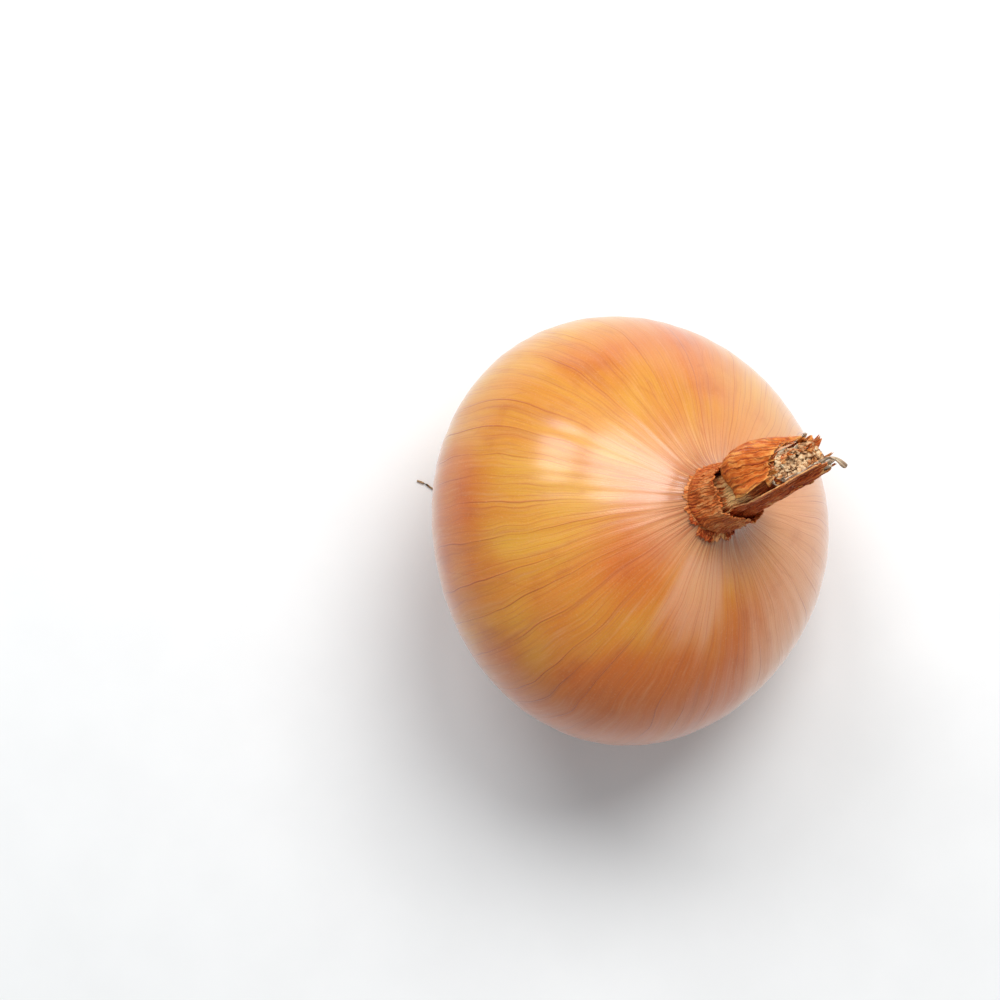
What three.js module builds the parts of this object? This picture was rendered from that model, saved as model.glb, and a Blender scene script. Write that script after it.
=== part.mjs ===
// A whole dry yellow onion, in millimetres, +Z up, resting on a table at Z = 0.
// It stands on a small flat spot low on its flank and on its root plate and roots, so it leans towards +X.
// The bulb and the neck are modelled about the onion's own axis, and one group leans them both.
// The origin is on the table, at the middle of the flat spot.

import * as THREE from 'three';

// Driving dimensions

const lean = THREE.MathUtils.degToRad( 29 ); // the onion's axis from the vertical, towards +X

const bulb = {
	radius: 42, // at the widest ring
	topHeight: 32.5, // from the widest ring to the crown
	bottomHeight: 30, // from the widest ring to the root end
	ovalShare: 0.016, // two-lobed swelling, as a share of the radius
	ovalAngle: THREE.MathUtils.degToRad( 63 ),
	lobeShare: 0.016, // three-lobed swelling
	lobeAngle: THREE.MathUtils.degToRad( - 10 ),
	flareHeight: 3.2, // how far the skin rises into the neck
	flareWidth: 2.6,
	flatDepth: 0.6, // how far the flank is pressed flat on the table
	segments: 60,
	rings: 20, // in each half of the profile
};

const neck = {
	footRadius: 6.2, // of the seat on the crown
	midRadius: 4.0,
	tipRadius: 3.1,
	length: 28,
	straightShare: 0.45, // how far along its length the neck bends
	bend: THREE.MathUtils.degToRad( 33 ),
	bendTurn: THREE.MathUtils.degToRad( 15 ), // the bend's direction, measured from the lean
	cutSlant: 7, // how much shorter the neck is on the side that faces up, because its end is cut aslant
	fold: 0.09, // depth of the core's lengthwise folds, as a share of its radius
	folds: 5,
};

const gap = 0.3; // between neighbouring pieces
const sheathThickness = 1.1;

const rootPlate = { radius: 7.2, rimRadius: 5.6, height: 3.2 };

const roots = {
	count: 14,
	radius: 0.45,
	ring: 4.4, // of the circle on the plate that they leave from
	fan: THREE.MathUtils.degToRad( 128 ), // how far round they spread, each way from the side opposite the lean
	drop: 2.2,
	reach: 13,
	longest: { index: 9, reach: 26.5 },
};

// Places worked out from them

const restHeight = Math.hypot( bulb.radius * Math.sin( lean ), bulb.bottomHeight * Math.cos( lean ) );
const centreHeight = restHeight - bulb.flatDepth;
const spotOffset = ( bulb.radius ** 2 - bulb.bottomHeight ** 2 ) * Math.sin( lean ) * Math.cos( lean ) / restHeight;
const seatHeight = crownHeight( neck.footRadius );

const upwards = new THREE.Vector3( 0, 0, 1 );
const leaning = new THREE.Matrix4().makeRotationY( lean ).setPosition( - spotOffset, 0, centreHeight );
const upright = leaning.clone().invert();

// Materials

const skin = new THREE.MeshStandardMaterial( { color: 0xd98f45, roughness: 0.42, metalness: 0 } );
const drySheath = new THREE.MeshStandardMaterial( { color: 0xa4602f, roughness: 0.7, metalness: 0 } );
const dryPith = new THREE.MeshStandardMaterial( { color: 0xa98a66, roughness: 0.9, metalness: 0 } );
const cork = new THREE.MeshStandardMaterial( { color: 0x8a6a4a, roughness: 0.95, metalness: 0 } );
const dryRoot = new THREE.MeshStandardMaterial( { color: 0x9a7448, roughness: 0.85, metalness: 0 } );

// Moves every vertex of a geometry to the point that place( vertex ) gives.

function reshape( geometry, place ) {

	const positions = geometry.attributes.position;
	const vertex = new THREE.Vector3();

	for ( let i = 0; i < positions.count; i ++ ) {

		vertex.fromBufferAttribute( positions, i );
		place( vertex );
		positions.setXYZ( i, vertex.x, vertex.y, vertex.z );

	}

	geometry.computeVertexNormals();
	return geometry;

}

function namedMesh( name, geometry, material ) {

	const mesh = new THREE.Mesh( geometry, material );
	mesh.name = name;
	return mesh;

}

// Bulb: a flattened globe that rises into the neck at the crown. Its axis is Z and its widest ring is at Z = 0.

function crownHeight( radius ) {

	const globe = bulb.topHeight * Math.sqrt( 1 - ( radius / bulb.radius ) ** 2 );
	return globe + bulb.flareHeight * Math.exp( ( neck.footRadius - radius ) / bulb.flareWidth );

}

function bulbProfile() {

	const points = [];

	for ( let i = 0; i < bulb.rings; i ++ ) {

		const turn = ( i / bulb.rings ) * Math.PI / 2;
		points.push( new THREE.Vector2( bulb.radius * Math.sin( turn ), - bulb.bottomHeight * Math.cos( turn ) ) );

	}

	for ( let i = 0; i <= bulb.rings; i ++ ) {

		// The rings close up towards the crown, where the profile turns quickly.
		const turn = ( i / bulb.rings ) * Math.PI / 2;
		const radius = neck.footRadius + ( bulb.radius - neck.footRadius ) * Math.cos( turn ) ** 1.3;
		points.push( new THREE.Vector2( radius, crownHeight( radius ) ) );

	}

	points.push( new THREE.Vector2( 0, seatHeight ) );
	return points;

}

function lobes( angle, radius ) {

	const share = bulb.ovalShare * Math.cos( 2 * ( angle - bulb.ovalAngle ) )
		+ bulb.lobeShare * Math.cos( 3 * ( angle - bulb.lobeAngle ) );
	return 1 + share * radius / bulb.radius;

}

// Lifts a point that is below the table up to it.

function restOnTable( point ) {

	point.applyMatrix4( leaning );
	point.z = Math.max( point.z, 0 );
	point.applyMatrix4( upright );

}

function makeBulb() {

	const geometry = new THREE.LatheGeometry( bulbProfile(), bulb.segments );
	geometry.rotateX( Math.PI / 2 );

	reshape( geometry, ( vertex ) => {

		const radius = Math.hypot( vertex.x, vertex.y );
		const swell = lobes( Math.atan2( vertex.y, vertex.x ), radius );
		vertex.x *= swell;
		vertex.y *= swell;
		restOnTable( vertex );

	} );

	return namedMesh( 'bulb', geometry, skin );

}

// Neck: everything on it is placed by its distance along the neck's middle line, its angle around it, and its
// distance out from it. Angle 0 faces the way the onion leans, and a half turn is the side that faces up.
// The middle line is drawn in the XZ plane, and neckPoint turns it to the bend's own direction.

const neckFoot = new THREE.Vector3( 0, 0, seatHeight );
const neckKnee = neckFoot.clone().add( new THREE.Vector3( 0, 0, neck.length * neck.straightShare ) );
const neckTip = new THREE.Vector3( Math.sin( neck.bend ), 0, Math.cos( neck.bend ) )
	.multiplyScalar( neck.length * ( 1 - neck.straightShare ) )
	.add( neckKnee );
const neckLine = new THREE.QuadraticBezierCurve3( neckFoot, neckKnee, neckTip );

function neckPoint( along, angle, out, target ) {

	const share = along / neck.length;
	const tangent = neckLine.getTangent( Math.min( share, 1 ) );
	const around = angle - neck.bendTurn;
	const side = new THREE.Vector3( tangent.z, 0, - tangent.x ).multiplyScalar( out * Math.cos( around ) );
	target.copy( neckLine.getPoint( share ) ).add( side );
	target.y += out * Math.sin( around );
	target.applyAxisAngle( upwards, neck.bendTurn );

}

// How far the slanting cut takes off the neck's length at an angle, at the rim or nearer to the middle.

function cutAt( angle, share = 1 ) {

	return neck.cutSlant * ( 1 - share * Math.cos( angle ) ) / 2;

}

// The core's radius, with its lengthwise folds.

function coreRadius( along, angle ) {

	const share = along / neck.length;
	const round = share < 0.35
		? THREE.MathUtils.lerp( neck.footRadius - sheathThickness - gap, neck.midRadius, share / 0.35 )
		: THREE.MathUtils.lerp( neck.midRadius, neck.tipRadius, ( share - 0.35 ) / 0.65 );
	return round * ( 1 + neck.fold * Math.cos( neck.folds * angle + 2 * share ) );

}

function makeNeckCore() {

	const geometry = new THREE.CylinderGeometry( 1, 1, 1, 30, 12 );
	geometry.rotateX( Math.PI / 2 );

	reshape( geometry, ( vertex ) => {

		const angle = Math.atan2( vertex.y, vertex.x );
		const share = Math.hypot( vertex.x, vertex.y );
		const along = THREE.MathUtils.lerp( gap, neck.length - cutAt( angle, share ), vertex.z + 0.5 );
		const out = share * coreRadius( along, angle );
		neckPoint( along, angle, out, vertex );

	} );

	return namedMesh( 'neck_core', geometry, dryPith );

}

// A dry leaf sheath: a curved sheet around part of the core, between two angles in degrees.

function makeSheath( { name, start, end, from, to, lift = 0, slanted = false } ) {

	const around = Math.ceil( ( to - from ) / 15 );
	const lengthwise = Math.ceil( ( end - start ) / 2 );
	const geometry = new THREE.BoxGeometry( 1, 1, 1, around, lengthwise, 1 );

	reshape( geometry, ( vertex ) => {

		const angle = THREE.MathUtils.degToRad( THREE.MathUtils.lerp( from, to, vertex.x + 0.5 ) );
		const top = slanted ? end - cutAt( angle ) : end;
		const along = THREE.MathUtils.lerp( start, top, vertex.y + 0.5 );
		const rise = lift * Math.sin( Math.PI * ( vertex.y + 0.5 ) );
		const out = coreRadius( along, angle ) + gap + rise + ( vertex.z + 0.5 ) * sheathThickness;
		neckPoint( along, angle, out, vertex );

	} );

	return namedMesh( name, geometry, drySheath );

}

const sheaths = [
	{ name: 'neck_collar', start: gap, end: 8.6, from: 8, to: 352 },
	{ name: 'neck_upper_sheath', start: 9, end: 27, from: 62, to: 176, lift: 1.2, slanted: true },
	{ name: 'neck_lower_sheath', start: 9, end: 27.5, from: 192, to: 286, lift: 0.4 },
	{ name: 'neck_under_sheath', start: 9, end: 25, from: 296, to: 412, lift: 0.2 },
];

// A thin strip torn from a sheath, which hooks over past the neck's cut end.

function makeTipCurl() {

	const hook = { along: neck.length + gap, reach: 4, dip: 0.3, turnedOut: 2.3, width: 2, thickness: 0.8 };
	const geometry = new THREE.BoxGeometry( 1, 1, 1, 3, 8, 1 );

	reshape( geometry, ( vertex ) => {

		const share = vertex.y + 0.5;
		const angle = THREE.MathUtils.degToRad( 262 + 57 * vertex.x * hook.width / neck.tipRadius );
		const bent = hook.turnedOut * share ** 2.4 - hook.dip * Math.sin( Math.PI * share );
		const out = neck.tipRadius * 0.75 + bent + vertex.z * hook.thickness;
		neckPoint( hook.along + hook.reach * share - 0.5 * share ** 3, angle, out, vertex );

	} );

	return namedMesh( 'neck_tip_curl', geometry, drySheath );

}

// Root plate: the corky disc that closes the root end.

function makeRootPlate() {

	const top = - bulb.bottomHeight - gap;
	const profile = [
		new THREE.Vector2( 0, top - rootPlate.height ),
		new THREE.Vector2( rootPlate.rimRadius * 0.7, top - rootPlate.height ),
		new THREE.Vector2( rootPlate.rimRadius, top - rootPlate.height * 0.8 ),
		new THREE.Vector2( rootPlate.radius, top - rootPlate.height * 0.1 ),
		new THREE.Vector2( rootPlate.radius * 0.95, top ),
		new THREE.Vector2( 0, top ),
	];
	const geometry = new THREE.LatheGeometry( profile, 28 );
	geometry.rotateX( Math.PI / 2 );
	reshape( geometry, restOnTable );
	return namedMesh( 'root_plate', geometry, cork );

}

// Roots: dry wires that leave the plate, drop to the table and lie on it in a fan under the bulb.

function rootRoute( index ) {

	const turn = THREE.MathUtils.lerp( - roots.fan, roots.fan, index / ( roots.count - 1 ) );
	const reach = index === roots.longest.index
		? roots.longest.reach
		: roots.reach * ( 1 + 0.25 * Math.sin( index * 2.4 ) );
	const sway = 1.2 * Math.sin( index * 1.7 );
	const away = new THREE.Vector3( - Math.cos( turn ), Math.sin( turn ), 0 );
	const across = new THREE.Vector3( away.y, - away.x, 0 );
	const underPlate = - bulb.bottomHeight - gap - rootPlate.height - gap;

	const start = new THREE.Vector3( - roots.ring * Math.cos( turn ), roots.ring * Math.sin( turn ), underPlate )
		.applyMatrix4( leaning );
	const axis = new THREE.Vector3( Math.sin( lean ), 0, Math.cos( lean ) );
	const dropped = start.clone().addScaledVector( axis, - roots.drop );
	const middle = dropped.clone().addScaledVector( away, reach * 0.45 ).addScaledVector( across, sway * 0.5 );
	const tip = dropped.clone().addScaledVector( away, reach ).addScaledVector( across, sway );

	dropped.z = Math.max( dropped.z, roots.radius );
	middle.z = roots.radius;
	tip.z = roots.radius;
	return new THREE.CatmullRomCurve3( [ start, dropped, middle, tip ] );

}

function makeRoot( index ) {

	const section = new THREE.Shape().absarc( 0, 0, roots.radius, 0, 2 * Math.PI, false );
	const geometry = new THREE.ExtrudeGeometry( section, {
		extrudePath: rootRoute( index ),
		steps: 10,
		curveSegments: 4,
		bevelEnabled: false,
	} );

	reshape( geometry, ( vertex ) => {

		vertex.z = Math.max( vertex.z, 0 );

	} );

	return namedMesh( 'root_' + String( index + 1 ).padStart( 2, '0' ), geometry, dryRoot );

}

// Assembly

const leaned = new THREE.Group();
leaned.rotation.y = lean;
leaned.position.set( - spotOffset, 0, centreHeight );
leaned.add( makeBulb(), makeRootPlate(), makeNeckCore(), ...sheaths.map( makeSheath ), makeTipCurl() );

const onion = new THREE.Group();
onion.add( leaned );

for ( let index = 0; index < roots.count; index ++ ) {

	onion.add( makeRoot( index ) );

}

export default onion;
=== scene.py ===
import bmesh
import bpy
import math
import random
import numpy as np
from mathutils import Matrix, Vector, noise


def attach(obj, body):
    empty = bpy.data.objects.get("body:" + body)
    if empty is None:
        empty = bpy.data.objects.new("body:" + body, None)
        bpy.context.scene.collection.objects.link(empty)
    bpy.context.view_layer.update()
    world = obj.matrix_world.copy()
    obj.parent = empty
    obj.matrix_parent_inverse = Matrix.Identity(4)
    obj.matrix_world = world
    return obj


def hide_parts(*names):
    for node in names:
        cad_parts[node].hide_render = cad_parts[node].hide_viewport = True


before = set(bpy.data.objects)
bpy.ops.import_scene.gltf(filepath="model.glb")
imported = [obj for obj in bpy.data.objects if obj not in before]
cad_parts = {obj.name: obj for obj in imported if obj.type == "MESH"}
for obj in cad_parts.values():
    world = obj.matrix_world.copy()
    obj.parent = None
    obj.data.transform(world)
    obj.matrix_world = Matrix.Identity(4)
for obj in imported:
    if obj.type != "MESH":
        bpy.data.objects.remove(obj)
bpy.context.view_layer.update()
print("frame loaded")

# the onion's own measures, in metres and radians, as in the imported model
onion = {
    "lean": math.radians(29),
    "radius": 0.042,
    "topHeight": 0.0325,
    "bottomHeight": 0.030,
    "ovalShare": 0.016,
    "ovalAngle": math.radians(63),
    "lobeShare": 0.016,
    "lobeAngle": math.radians(-10),
    "flareHeight": 0.0032,
    "flareWidth": 0.0026,
    "flatDepth": 0.0006,
}
neck = {
    "footRadius": 0.0062,
    "midRadius": 0.0040,
    "tipRadius": 0.0031,
    "length": 0.028,
    "straightShare": 0.45,
    "bend": math.radians(33),
    "bendTurn": math.radians(15),
    "cutSlant": 0.007,
    "fold": 0.09,
    "folds": 5,
    "sheath": 0.0011,
    "gap": 0.0003,
}

sinLean, cosLean = math.sin(onion["lean"]), math.cos(onion["lean"])
restHeight = math.hypot(onion["radius"] * sinLean, onion["bottomHeight"] * cosLean)
centreHeight = restHeight - onion["flatDepth"]
spotOffset = (onion["radius"] ** 2 - onion["bottomHeight"] ** 2) * sinLean * cosLean / restHeight
leaning = Matrix.Translation((-spotOffset, 0, centreHeight)) @ Matrix.Rotation(onion["lean"], 4, "Y")


def crownHeight(radius):
    globe = onion["topHeight"] * np.sqrt(1 - (radius / onion["radius"]) ** 2)
    return globe + onion["flareHeight"] * np.exp((neck["footRadius"] - radius) / onion["flareWidth"])


seatHeight = float(crownHeight(neck["footRadius"]))


# small helpers for meshes

def lerp(start, end, share):
    return start + (end - start) * share


def smooth(low, high, value):
    share = np.clip((value - low) / (high - low), 0, 1)
    return share * share * (3 - 2 * share)


def grain(points, scale, seed=0.0):
    # smooth noise between about -1 and 1, one value for each point
    shift = Vector((seed * 7.31, seed * 3.17, seed * 5.71))
    return np.array([noise.noise(Vector(p) * scale + shift) for p in points])


def gridFaces(columns, rows, around=False):
    faces = []
    wide = columns if around else columns - 1
    for row in range(rows - 1):
        for column in range(wide):
            right = (column + 1) % columns
            faces.append((row * columns + column, row * columns + right,
                          (row + 1) * columns + right, (row + 1) * columns + column))
    return faces


def meshPiece(name, points, faces, material, leaned=False, attributes=None, smoothShade=True):
    mesh = bpy.data.meshes.new(name)
    mesh.from_pydata([tuple(p) for p in points], [], faces)
    if leaned:  # the points are in the onion's own directions
        mesh.transform(leaning)
    for label, values in (attributes or {}).items():
        layer = mesh.attributes.new(label, "FLOAT", "POINT")
        layer.data.foreach_set("value", np.asarray(values, np.float32))
    mesh.materials.append(material)
    mesh.validate()
    mesh.polygons.foreach_set("use_smooth", [smoothShade] * len(mesh.polygons))
    piece = bpy.data.objects.new(name, mesh)
    bpy.context.scene.collection.objects.link(piece)
    return piece


def thicken(piece, thickness, offset=-1.0):
    solid = piece.modifiers.new("thickness", "SOLIDIFY")
    solid.thickness = thickness
    solid.offset = offset
    return piece


def settle(piece, slotName, *nodes):
    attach(piece, "root")
    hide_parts(*nodes)
    return piece


# small helpers for materials

def newMaterial(name):
    material = bpy.data.materials.new(name)
    material.use_nodes = True
    material.node_tree.nodes.clear()
    return material, material.node_tree


def node(tree, kind, feeds=None, **settings):
    made = tree.nodes.new(kind)
    for setting, value in settings.items():
        setattr(made, setting, value)
    for socket, value in (feeds or {}).items():
        if isinstance(value, bpy.types.NodeSocket):
            tree.links.new(value, made.inputs[socket])
        else:
            made.inputs[socket].default_value = value
    return made


def calc(tree, operation, *values):
    feeds = dict(enumerate(values))
    return node(tree, "ShaderNodeMath", feeds, operation=operation).outputs[0]


def times(tree, first, second):
    return calc(tree, "MULTIPLY", first, second)


def plus(tree, first, second):
    return calc(tree, "ADD", first, second)


def remap(tree, value, low, high, toLow=0.0, toHigh=1.0):
    # a smooth step between two values
    feeds = {"Value": value, "From Min": low, "From Max": high, "To Min": toLow, "To Max": toHigh}
    return node(tree, "ShaderNodeMapRange", feeds, interpolation_type="SMOOTHSTEP").outputs["Result"]


def vector(tree, x, y, z):
    return node(tree, "ShaderNodeCombineXYZ", {0: x, 1: y, 2: z}).outputs[0]


def uprightPlace(tree):
    # a point of the leaning onion in the onion's own directions, with z from the widest ring to the crown
    spot = node(tree, "ShaderNodeTexCoord").outputs["Object"]
    centre = (-spotOffset, 0, centreHeight)
    moved = node(tree, "ShaderNodeVectorMath", {0: spot, 1: centre}, operation="SUBTRACT").outputs[0]
    feeds = {"Vector": moved, "Angle": -onion["lean"]}
    return node(tree, "ShaderNodeVectorRotate", feeds, rotation_type="Y_AXIS").outputs[0]


def cloud(tree, place, scale, detail=3.0, roughness=0.55):
    feeds = {"Vector": place, "Scale": scale, "Detail": detail, "Roughness": roughness}
    return node(tree, "ShaderNodeTexNoise", feeds).outputs["Fac"]


def blendColour(tree, share, first, second, mode="MIX"):
    made = node(tree, "ShaderNodeMix", data_type="RGBA", blend_type=mode, clamp_factor=True)
    for socket, value in ((0, share), (6, first), (7, second)):
        if isinstance(value, bpy.types.NodeSocket):
            tree.links.new(value, made.inputs[socket])
        elif socket == 0:
            made.inputs[0].default_value = value
        else:
            made.inputs[socket].default_value = (*value, 1.0)
    return made.outputs[2]


def ramp(tree, value, stops):
    made = node(tree, "ShaderNodeValToRGB", {"Fac": value})
    made.color_ramp.elements[0].position = stops[0][0]
    made.color_ramp.elements[0].color = (*stops[0][1], 1)
    made.color_ramp.elements[1].position = stops[-1][0]
    made.color_ramp.elements[1].color = (*stops[-1][1], 1)
    for position, colour in stops[1:-1]:
        made.color_ramp.elements.new(position).color = (*colour, 1)
    return made.outputs["Color"]


def finishMaterial(tree, colour, roughness, height, bumpDepth, **fixed):
    bump = node(tree, "ShaderNodeBump", {"Height": height, "Strength": 1.0, "Distance": bumpDepth})
    feeds = {"Base Color": colour, "Roughness": roughness, "Normal": bump.outputs[0]}
    shader = node(tree, "ShaderNodeBsdfPrincipled", feeds)
    for socket, value in fixed.items():
        shader.inputs[socket.replace("_", " ")].default_value = value
    output = node(tree, "ShaderNodeOutputMaterial")
    tree.links.new(shader.outputs[0], output.inputs["Surface"])


# camera: it looks straight down, turned so that the onion leans to the right and a little up

camera = {
    "height": 0.9,
    "frameWidth": 0.1982,  # what it sees at the height of the bulb's middle
    "turn": math.radians(20),
    "aside": (-0.0255, 0.0057),  # from the bulb's middle, in the camera's own directions
}


def setCamera():
    lens = bpy.data.cameras.new("camera")
    lens.sensor_width = 36
    lens.lens = lens.sensor_width * (camera["height"] - centreHeight) / camera["frameWidth"]
    lens.clip_start = 0.01
    lens.clip_end = 20
    stand = bpy.data.objects.new("camera", lens)
    bpy.context.scene.collection.objects.link(stand)
    turned = Matrix.Rotation(-camera["turn"], 4, "Z")
    aside = turned @ Vector((*camera["aside"], 0))
    stand.matrix_world = Matrix.Translation((aside.x - spotOffset, aside.y, camera["height"])) @ turned
    bpy.context.scene.camera = stand


setCamera()

# light: azimuths are in the camera's own directions, 90 is towards the top of the view

lights = {
    "key": {"azimuth": 66, "elevation": 54, "distance": 0.9, "size": 0.55, "power": 6.5,
            "colour": (1, 0.995, 0.985)},
    "gloss": {"azimuth": 117, "elevation": 46, "distance": 0.8, "size": 0.34, "power": 2.3,
              "colour": (1, 1, 1)},
}
worldLight = {"strength": 0.41, "colour": (0.91, 0.965, 1.0)}


def setLights():
    for name, values in lights.items():
        lamp = bpy.data.lights.new(name, "AREA")
        lamp.shape = "DISK"
        lamp.size = values["size"]
        lamp.energy = values["power"]
        lamp.color = values["colour"]
        stand = bpy.data.objects.new(name, lamp)
        bpy.context.scene.collection.objects.link(stand)
        azimuth = math.radians(values["azimuth"]) - camera["turn"]
        elevation = math.radians(values["elevation"])
        away = Vector((math.cos(azimuth) * math.cos(elevation), math.sin(azimuth) * math.cos(elevation),
                       math.sin(elevation)))
        target = Vector((-spotOffset, 0, centreHeight))
        stand.location = target + away * values["distance"]
        stand.rotation_euler = away.to_track_quat("Z", "Y").to_euler()
    world = bpy.data.worlds.new("studio")
    bpy.context.scene.world = world
    world.use_nodes = True
    background = world.node_tree.nodes["Background"]
    background.inputs["Color"].default_value = (*worldLight["colour"], 1)
    background.inputs["Strength"].default_value = worldLight["strength"]
    bpy.context.scene.view_settings.view_transform = "Standard"


setLights()


def makeFloor():
    material, tree = newMaterial("white table")
    place = node(tree, "ShaderNodeTexCoord").outputs["Object"]
    speck = cloud(tree, place, 60.0)
    colour = ramp(tree, speck, [(0.3, (0.86, 0.86, 0.86)), (0.7, (0.88, 0.88, 0.88))])
    roughness = remap(tree, speck, 0.3, 0.7, 0.55, 0.65)
    finishMaterial(tree, colour, roughness, speck, 0.00002)
    reach = 3.0
    corners = [(-reach, -reach, 0), (reach, -reach, 0), (reach, reach, 0), (-reach, reach, 0)]
    floor = meshPiece("table", corners, [(0, 1, 2, 3)], material)


makeFloor()
print("camera, light and table set")

# skin of the bulb

skinLook = {
    "golden": (0.66, 0.310, 0.024),
    "orange": (0.57, 0.124, 0.002),
    "deep": (0.40, 0.075, 0.004),
    "salmon": (0.76, 0.350, 0.150),
    "cream": (0.70, 0.355, 0.175),
    "pink": (0.70, 0.36, 0.23),
    "shade": (0.36, 0.19, 0.125),
    "vein": (0.42, 0.080, 0.012),
    "neckRed": (0.44, 0.12, 0.035),
    "veins": 40,
    "veinWidth": 0.00021,
    "links": 44,
    "roughness": (0.36, 0.50),
    "bumpDepth": 0.00014,
}


def skinMaterial():
    look = skinLook
    material, tree = newMaterial("golden onion skin")
    spot = uprightPlace(tree)
    parts = node(tree, "ShaderNodeSeparateXYZ", {0: spot})
    x, y, z = parts.outputs
    flat = vector(tree, x, y, 0.0)
    radius = node(tree, "ShaderNodeVectorMath", {0: flat}, operation="LENGTH").outputs["Value"]
    radius = calc(tree, "MAXIMUM", radius, 0.0005)
    # latitude: 0 at the crown and pi at the root end
    stretched = times(tree, z, onion["radius"] / onion["topHeight"])
    latitude = calc(tree, "ARCTAN2", radius, stretched)

    # the lines wander a little as they go down the skin
    drift = calc(tree, "SUBTRACT", cloud(tree, spot, 42.0, 2.0), 0.5)
    finer = calc(tree, "SUBTRACT", cloud(tree, spot, 190.0, 2.0), 0.5)
    drift = plus(tree, times(tree, drift, 0.17), times(tree, finer, 0.007))
    cosine = calc(tree, "DIVIDE", x, radius)
    sine = calc(tree, "DIVIDE", y, radius)
    cosineMoved = calc(tree, "SUBTRACT", cosine, times(tree, sine, drift))
    sineMoved = plus(tree, sine, times(tree, cosine, drift))

    def lengthwise(cells, lengthShare):
        # a place that changes quickly round the bulb and slowly from crown to root
        spread = cells / (2 * math.pi)
        return vector(tree, times(tree, cosineMoved, spread),
                      times(tree, sineMoved, spread), times(tree, latitude, lengthShare))

    # the angle round the bulb, measured from the nearer end of the x axis, so that it has no jump there
    front = calc(tree, "GREATER_THAN", cosineMoved, 0.0)
    side = calc(tree, "SUBTRACT", times(tree, front, 2.0), 1.0)
    angle = calc(tree, "ARCTAN2", times(tree, sineMoved, side), times(tree, cosineMoved, side))
    angle = plus(tree, angle, times(tree, front, 40.0))

    def line(edge, cells, width):
        # edge is a distance in cells, and width is in metres on the skin
        across = times(tree, edge, times(tree, radius, 2 * math.pi / cells))
        return remap(tree, across, width * 0.2, width * 0.9, 1.0, 0.0)

    def lengthVeins(cells, width, low):
        spread = times(tree, angle, cells / (2 * math.pi))
        feeds = {"W": spread, "Scale": 1.0, "Randomness": 0.85}
        settings = {"feature": "DISTANCE_TO_EDGE", "voronoi_dimensions": "1D"}
        edge = node(tree, "ShaderNodeTexVoronoi", feeds, **settings).outputs["Distance"]
        fade = remap(tree, cloud(tree, lengthwise(cells * 0.8, 1.1), 1.0, 3.0), 0.36, 0.62, low, 1.0)
        return times(tree, line(edge, cells, width), fade)

    def slantedLinks(cells, width):
        place = vector(tree, times(tree, angle, cells / (2 * math.pi)),
                       times(tree, latitude, 1.6), 0.0)
        settings = {"feature": "DISTANCE_TO_EDGE", "voronoi_dimensions": "2D"}
        feeds = {"Vector": place, "Scale": 1.0}
        edge = node(tree, "ShaderNodeTexVoronoi", feeds, **settings).outputs["Distance"]
        fade = remap(tree, cloud(tree, lengthwise(cells * 0.5, 2.0), 1.0, 2.0), 0.48, 0.66)
        return times(tree, line(edge, cells, width), fade)

    # broad colour: golden and orange clouds
    broad = cloud(tree, spot, 24.0, 3.0, 0.5)
    streaky = cloud(tree, lengthwise(34, 0.9), 1.0, 4.0, 0.6)
    lower = times(tree, y, -5.0)
    ripe = remap(tree, plus(tree, broad, lower), 0.33, 0.61)
    colour = blendColour(tree, ripe, look["golden"], look["orange"])
    colour = blendColour(tree, remap(tree, streaky, 0.35, 0.75, 0.0, 0.45), colour, look["orange"])

    bands = cloud(tree, lengthwise(95, 1.3), 1.0, 4.0, 0.7)
    colour = blendColour(tree, remap(tree, bands, 0.50, 0.74, 0.0, 0.42), colour, look["neckRed"])
    colour = blendColour(tree, remap(tree, bands, 0.46, 0.28, 0.0, 0.26), colour, look["cream"])

    # fine lengthwise striations, closer together towards the crown
    striae = cloud(tree, lengthwise(420, 3.0), 1.0, 4.0, 0.65)
    colour = blendColour(tree, remap(tree, striae, 0.42, 0.75, 0.0, 0.16), colour, look["salmon"])
    darkStriae = cloud(tree, lengthwise(640, 4.0), 1.0, 3.0, 0.6)
    colour = blendColour(tree, remap(tree, darkStriae, 0.50, 0.78, 0.0, 0.36), colour, look["neckRed"])

    # a paler overlay on the side that the onion leans to, with a streaky edge
    ragged = times(tree, calc(tree, "SUBTRACT", streaky, 0.5), 0.022)
    overlay = remap(tree, plus(tree, x, ragged), -0.004, 0.017, 0.0, 0.78)
    overlay = times(tree, overlay, remap(tree, y, 0.026, -0.006, 0.12, 1.0))
    colour = blendColour(tree, overlay, colour, look["salmon"])
    blotches = cloud(tree, spot, 105.0, 5.0, 0.62)
    colour = blendColour(tree, remap(tree, blotches, 0.50, 0.72, 0.0, 0.26), colour, look["deep"])

    # pale ring round the neck's foot, and another round the root plate
    crown = remap(tree, latitude, 0.17, 0.50, 0.72, 0.0)
    crown = times(tree, crown, remap(tree, striae, 0.25, 0.6, 0.55, 1.0))
    colour = blendColour(tree, crown, colour, look["cream"])
    colour = blendColour(tree, remap(tree, latitude, 2.45, 2.95, 0.0, 0.75), colour, look["cream"])

    # two marks near the neck: a pale worn patch, and a painted shadow, the neck's cast shadow greyed into the
    # skin below its foot

    def towards(directionX, directionY, low, high):
        partX = times(tree, cosine, directionX)
        along = plus(tree, partX, times(tree, sine, directionY))
        return remap(tree, along, low, high)

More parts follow.
